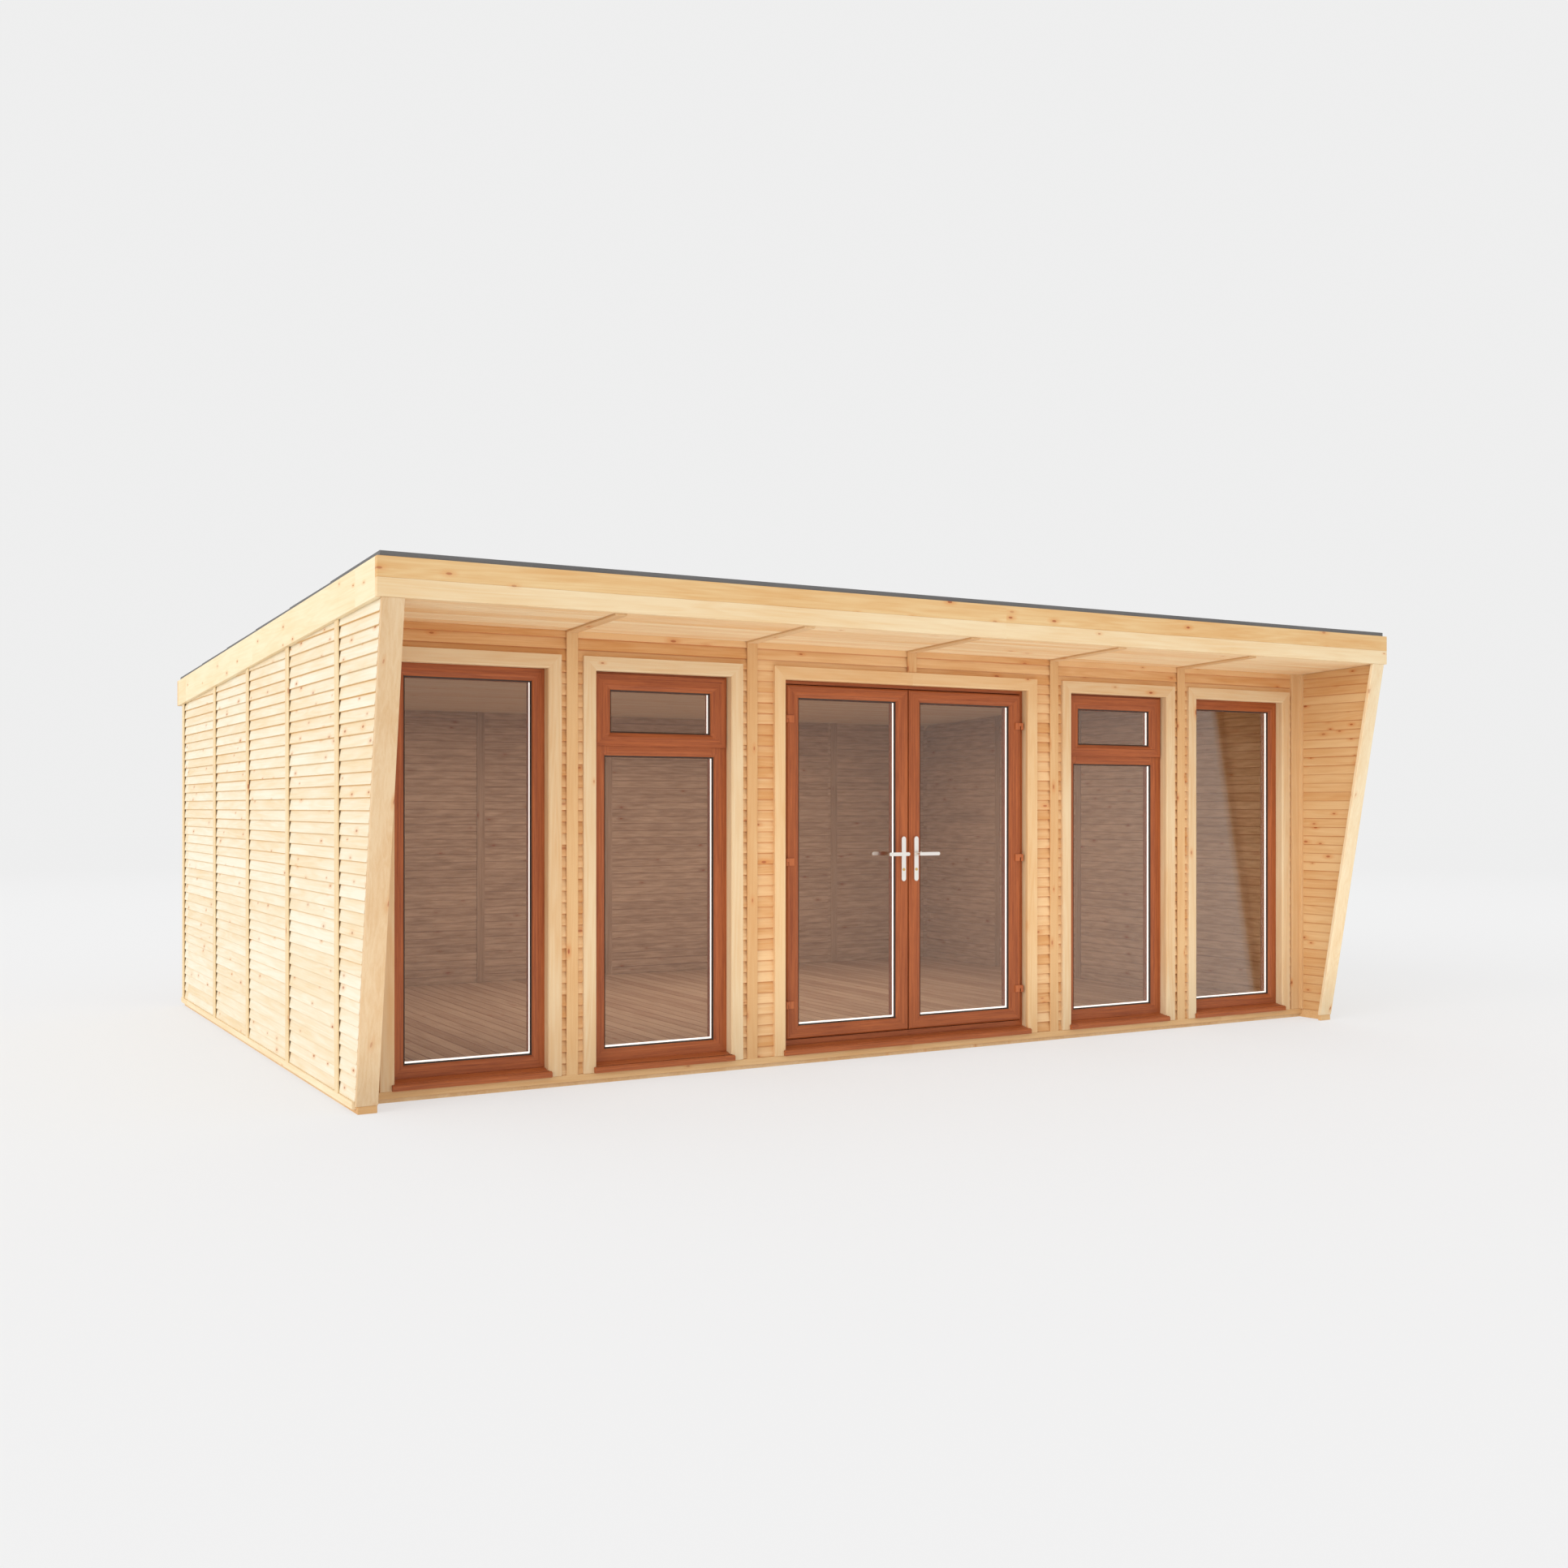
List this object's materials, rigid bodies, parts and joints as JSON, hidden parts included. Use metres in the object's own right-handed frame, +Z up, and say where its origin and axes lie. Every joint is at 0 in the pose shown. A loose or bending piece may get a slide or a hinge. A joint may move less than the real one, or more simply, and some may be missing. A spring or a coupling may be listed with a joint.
{
  "type": "timber garden room with a front canopy",
  "caption": "Timber garden room with a shallow pent roof, a deep canopy between tapered wings, tall glazed windows and a pair of glazed doors that open outwards.",
  "frame": {"origin": "on the ground under the middle of the building's outline", "axes": "+X along the front towards the right wing as seen from the front, the front faces -Y, +Z up"},
  "size_m": [6.42, 5.1, 2.4953],
  "materials": {
    "timber": "planed softwood, bare",
    "roofing": "matt sheet",
    "oak_plastic": "woodgrain foil, satin",
    "glass": "clear sealed units",
    "metal": "satin"
  },
  "bodies": {
    "building": {"base_bearers": "timber", "floor_deck": "timber", "base_trim": "timber", "wing_soles": "timber", "left_wall": "timber", "right_wall": "timber", "back_wall": "timber", "front_wall_left": "timber", "front_wall_right": "timber", "front_wall_header": "timber", "left_wing": "timber", "right_wing": "timber", "left_wing_post": "timber", "right_wing_post": "timber", "rafters": "timber", "roof_deck": "timber", "roof_covering": "roofing", "soffit": "timber", "soffit_strips": "timber", "ceiling": "timber", "front_fascia_upper": "timber", "front_fascia_lower": "timber", "left_fascia": "timber", "right_fascia": "timber", "back_fascia": "timber", "front_strips": "timber", "side_strips": "timber", "back_strips": "timber", "inner_strips": "timber", "corner_trims": "timber", "window_casings": "timber", "door_casing": "timber", "window_sills": "oak_plastic", "door_sill": "oak_plastic", "left_window_frames": "oak_plastic", "right_window_frames": "oak_plastic", "fanlight_sashes": "oak_plastic", "window_glass": "glass", "door_frame": "oak_plastic", "frame_hinges": "oak_plastic"},
    "left_door": {"left_leaf": "oak_plastic", "left_leaf_glass": "glass", "left_leaf_hinges": "oak_plastic", "left_plates": "metal"},
    "left_handle": {"left_lever": "metal"},
    "right_door": {"right_leaf": "oak_plastic", "right_leaf_glass": "glass", "right_leaf_hinges": "oak_plastic", "right_plates": "metal"},
    "right_handle": {"right_lever": "metal"}
  },
  "joints": [
    {"name": "left_door_swing", "type": "hinge", "parent": "building", "child": "left_door", "pos_m": [-0.8035, -1.904, 1.1], "axis": [0, 0, -1], "range_deg": [0, 90]},
    {"name": "right_door_swing", "type": "hinge", "parent": "building", "child": "right_door", "pos_m": [0.8035, -1.904, 1.1], "axis": [0, 0, 1], "range_deg": [0, 90]},
    {"name": "left_handle_turn", "type": "hinge", "parent": "left_door", "child": "left_handle", "pos_m": [-0.043, -1.896, 1.128], "axis": [0, -1, 0], "range_deg": [0, 45], "stiffness_Nm_per_rad": 0.6, "springref_deg": -57.3},
    {"name": "right_handle_turn", "type": "hinge", "parent": "right_door", "child": "right_handle", "pos_m": [0.043, -1.896, 1.128], "axis": [0, 1, 0], "range_deg": [0, 45], "stiffness_Nm_per_rad": 0.6, "springref_deg": -57.3}
  ]
}
